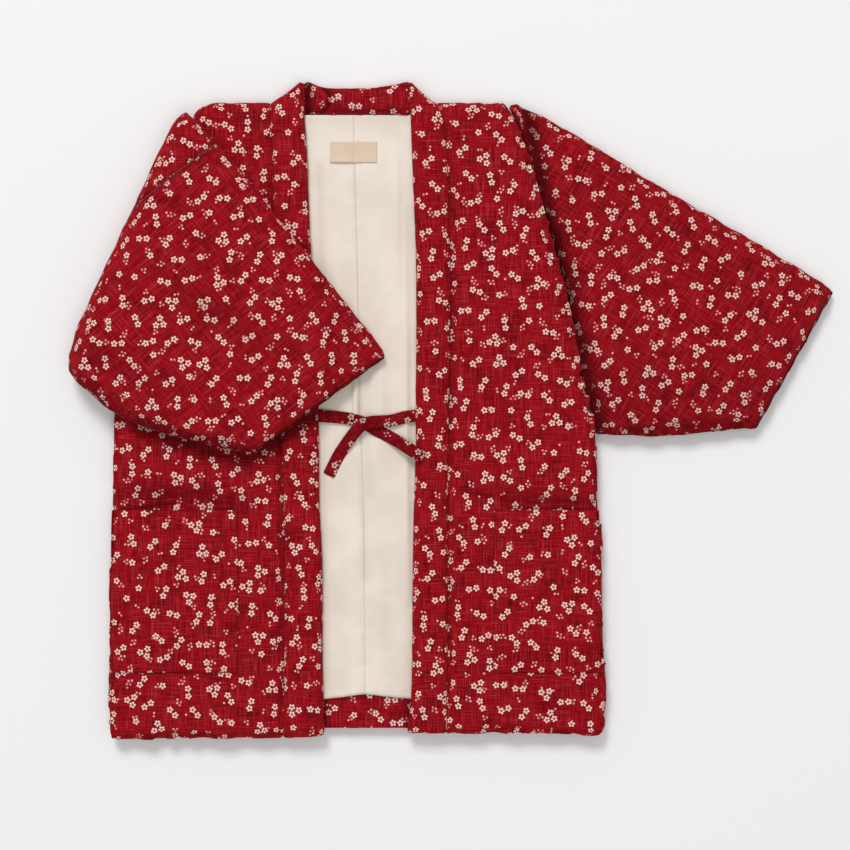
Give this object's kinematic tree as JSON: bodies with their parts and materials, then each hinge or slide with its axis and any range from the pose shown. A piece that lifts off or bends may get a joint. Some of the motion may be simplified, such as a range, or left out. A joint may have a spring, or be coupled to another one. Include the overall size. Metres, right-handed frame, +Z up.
{
  "type": "hanten",
  "caption": "Padded Japanese jacket laid flat, front open over its lining, ties crossed, one sleeve laid out and the other folded over the front.",
  "frame": {"origin": "middle of the laid-out jacket's outline, on the surface it lies on", "axes": "+X across the jacket towards the wearer's left sleeve, +Y from the hem to the neck, +Z up from the surface"},
  "size_m": [0.9338, 0.8024, 0.0517],
  "materials": {
    "printed_cotton": "matte slubbed cotton with a small blossom print",
    "lining_cloth": "smooth matte ivory lining",
    "label_cloth": "plain woven ribbon"
  },
  "bodies": {
    "root": {"back_left": "printed_cotton", "back_right": "printed_cotton", "front_left": "printed_cotton", "front_right": "printed_cotton", "collar_front_left": "printed_cotton", "collar_front_right": "printed_cotton", "collar_back_neck": "printed_cotton", "pocket_left": "printed_cotton", "pocket_right": "printed_cotton", "sleeve_left": "printed_cotton", "sleeve_right": "printed_cotton", "hem_facing": "printed_cotton", "tie_left": "printed_cotton", "tie_right": "printed_cotton", "lining_left": "lining_cloth", "lining_right": "lining_cloth", "label": "label_cloth"}
  },
  "joints": []
}
